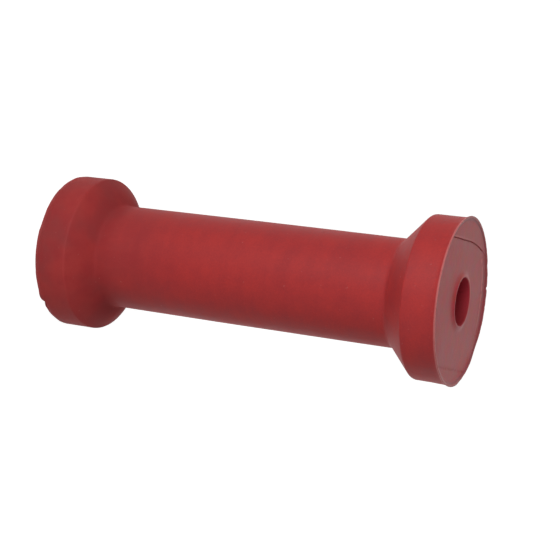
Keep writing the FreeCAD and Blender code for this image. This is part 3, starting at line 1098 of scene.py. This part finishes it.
def mix_colours(share, first, second):
    """The first colour where the share is 0 and the second where it is 1."""
    tree = next(value for value in (share, first, second) if isinstance(value, Flow)).tree
    feeds = {"Factor": share, "A": first, "B": second}
    return node_flow(tree, "ShaderNodeMix", feeds, {"data_type": "RGBA"}, "Result")


def painted(tree, name):
    """Read a value that the casting's nodes wrote on the mesh."""
    settings = {"attribute_name": name}
    return node_flow(tree, "ShaderNodeAttribute", settings=settings, output="Fac")


def pour_bands(place):
    """Rings round the roller, where the rising resin paused in the mould."""
    x, y, z = split(place)
    return clouds(place_at(x * BAND_SQUEEZE, y * BAND_SQUEEZE, z), "pour bands")


def resin_colour(place, uneven, marks):
    """Red resin, darker and greyer towards the moulded end as painted shade, its purplish open-cast
    skin and its bore with painted light and shade, with dust, wear, painted highlights and painted
    shade on top.
    """
    mottle = uneven["mottle"]
    depth = weighed(uneven, DEPTH_WEIGHTS) + HALF_WAY
    resin = mix_colours(kept_within(depth, 0.0, 1.0), DEEP_RESIN, WARM_RESIN)
    # Painted shade towards the moulded end, broken by stains
    end_shade = mix_colours(patches(place, "stains towards the moulded end"), STAINED_RESIN, END_SHADE_RESIN)
    clouded = uneven["end_shade"] * (mottle * END_SHADE_MOTTLE + END_SHADE_COVER)
    resin = mix_colours(kept_within(clouded, 0.0, 1.0), resin, end_shade)

    skin = mix_colours(kept_within(depth + mottle, 0.0, 1.0), DEEP_SKIN, CAST_SKIN)
    hue = mix_colours(patches(place, "skin hue"), BROWN_SKIN, VIOLET_SKIN)
    skin = mix_colours(HUE_SHARE, skin, hue)

    # Painted light and shade in the bore: lighter on its -X side, darker on its +X side
    lit = fade(split(place)[0], "lit side of the bore")
    bore = mix_colours(lit, SHADED_BORE, LIT_BORE)
    # Painted highlight on the lip's crest and the bore's mouth, and pale wear on the moulded edge
    wear_and_highlight = marks["wear_and_highlight"] * (weighed(uneven, WEAR_AND_HIGHLIGHT_WEIGHTS) + 1.0)
    layers = (
        (marks["in_bore"] * COVER["in_bore"], bore),
        (patches(place, "flecks") * COVER["flecks"], DUST),
        # Painted shade on the lip's wall
        (marks["lip_shade"] * COVER["lip_shade"], LIP_SHADE),
        # Pale skin edge and painted highlights
        (marks["pale_skin_and_highlight"] * COVER["pale_skin_and_highlight"], PALE_SKIN_AND_HIGHLIGHT),
        # Painted highlight and wear
        (kept_within(wear_and_highlight, 0.0, 1.0), PALE_WEAR_AND_HIGHLIGHT),
        # Painted shade in the crease and groove
        (marks["crease_shade"] * COVER["crease_shade"], CREASE_SHADE),
    )
    colour = mix_colours(marks["open_skin"], resin, skin)
    for share, layer in layers:
        colour = mix_colours(share, colour, layer)
    return colour


def polyurethane():
    """Satin red polyurethane: matt where it lay on the mould, glossier on its open-cast skin."""
    material = bpy.data.materials.new("satin_red_polyurethane")
    material.use_nodes = True
    tree = material.node_tree
    shader = tree.nodes["Principled BSDF"]
    shader.inputs["IOR"].default_value = RESIN_IOR

    place = node_flow(tree, "ShaderNodeTexCoord", output="Object")
    uneven = {name: clouds(place, name) for name in ("drift", "mottle", "grain")}
    uneven["bands"] = pour_bands(place)
    # Painted shade towards the moulded end
    uneven["end_shade"] = fade(split(place)[2], "shade towards the moulded end")
    marks = {name: painted(tree, name) for name in MARKS}
    feed(shader.inputs["Base Color"], resin_colour(place, uneven, marks))

    roughness = blend(marks["open_skin"], MOULDED_ROUGHNESS, CAST_ROUGHNESS)
    roughness = roughness + weighed({**uneven, **marks}, ROUGHNESS_WEIGHTS)
    feed(shader.inputs["Roughness"], kept_within(roughness, GLOSSIEST, MATTEST))

    peel = clouds(place, "peel") + uneven["grain"] * PEEL_GRAIN
    feeds = {"Height": peel, "Strength": PEEL_STRENGTH, "Distance": PEEL_DEPTH}
    feed(shader.inputs["Normal"], node_flow(tree, "ShaderNodeBump", feeds))
    return material


# Stage

FLOOR_HALF_WIDTH = 8.0
FLOOR_GREY = (0.5, 0.5, 0.5, 1.0)
WHITE = (1.0, 1.0, 1.0, 1.0)
# What the camera sees of the floor besides its lit grey, where 1 is white
FLOOR_GLOW = 0.93
# What the white world gives as light, where 1 is what the camera sees
SURROUNDINGS = 0.2

# Each softbox: its place, the length of its sides and its power. All face the same aim
SOFTBOXES = {
    "key_softbox": ((-0.5, -0.9, 0.15), 0.6, 4.2),
    "near_softbox": ((-0.3, -0.5, 0.3), 0.35, 1.2),
    "low_softbox": ((0.6, -0.8, 0.15), 0.6, 1.65),
}
AIM = Vector((0.0, 0.0, 0.10))

CAMERA_PLACE = (0.00127, -0.57506, 0.36971)
CAMERA_PITCH = 65.99
CAMERA_ROLL = 97.674
CAMERA_LENS = 85.86
CAMERA_SENSOR = 36.0
CAMERA_NEAREST = 0.05


def seen_directly(tree):
    """1 for the camera and for what it sees mirrored or through glass, and 0 for light."""
    rays = tree.nodes.new("ShaderNodeLightPath")
    kinds = ("Is Camera Ray", "Is Glossy Ray", "Is Transmission Ray")
    return lesser(sum(Flow(rays.outputs[kind]) for kind in kinds), 1.0)


def pale_floor_material():
    material = bpy.data.materials.new("pale_floor")
    material.use_nodes = True
    tree = material.node_tree
    tree.nodes.clear()
    matt = node_flow(tree, "ShaderNodeBsdfDiffuse", {"Color": FLOOR_GREY})
    glow = node_flow(tree, "ShaderNodeEmission", {"Strength": seen_directly(tree) * FLOOR_GLOW})
    both = tree.nodes.new("ShaderNodeAddShader")
    feed(both.inputs[0], matt)
    feed(both.inputs[1], glow)
    output = tree.nodes.new("ShaderNodeOutputMaterial")
    feed(output.inputs["Surface"], Flow(both.outputs[0]))
    return material


def lay_floor():
    """Plain pale floor that is white to the camera and keeps the roller's shadow."""
    mesh = bpy.data.meshes.new("floor")
    half, level = FLOOR_HALF_WIDTH, cad_low.z
    corners = [(-half, -half, level), (half, -half, level), (half, half, level), (-half, half, level)]
    mesh.from_pydata(corners, [], [(0, 1, 2, 3)])
    mesh.materials.append(pale_floor_material())
    add_object("floor", mesh)


def light_world():
    """Even white surroundings, dimmer as light than as background."""
    world = bpy.data.worlds.new("studio")
    bpy.context.scene.world = world
    world.use_nodes = True
    tree = world.node_tree
    background = tree.nodes["Background"]
    background.inputs["Color"].default_value = WHITE
    feed(background.inputs["Strength"], blend(seen_directly(tree), SURROUNDINGS, 1.0))


def hang_softboxes():
    for name, (place, side, power) in SOFTBOXES.items():
        lamp = bpy.data.lights.new(name, "AREA")
        lamp.shape = "SQUARE"
        lamp.size = side
        lamp.energy = power
        turn = (AIM - Vector(place)).to_track_quat("-Z", "Y")
        holder = add_object(name, lamp)
        holder.matrix_world = Matrix.Translation(place) @ turn.to_matrix().to_4x4()


def set_camera():
    """Camera at the photograph's place: looking along +Y and down, and rolled on its side."""
    camera_data = bpy.data.cameras.new("camera")
    camera_data.sensor_width = CAMERA_SENSOR
    camera_data.lens = CAMERA_LENS
    camera_data.clip_start = CAMERA_NEAREST
    pitch = Matrix.Rotation(math.radians(CAMERA_PITCH), 4, "X")
    roll = Matrix.Rotation(math.radians(CAMERA_ROLL), 4, "Z")
    camera = add_object("camera", camera_data)
    camera.matrix_world = Matrix.Translation(CAMERA_PLACE) @ pitch @ roll
    bpy.context.scene.camera = camera


def main():
    casting = make_casting(polyurethane())
    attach(casting, "root")
    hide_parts(NODE)
    lay_floor()
    light_world()
    hang_softboxes()
    set_camera()
    bpy.context.scene.view_settings.view_transform = "Standard"


main()
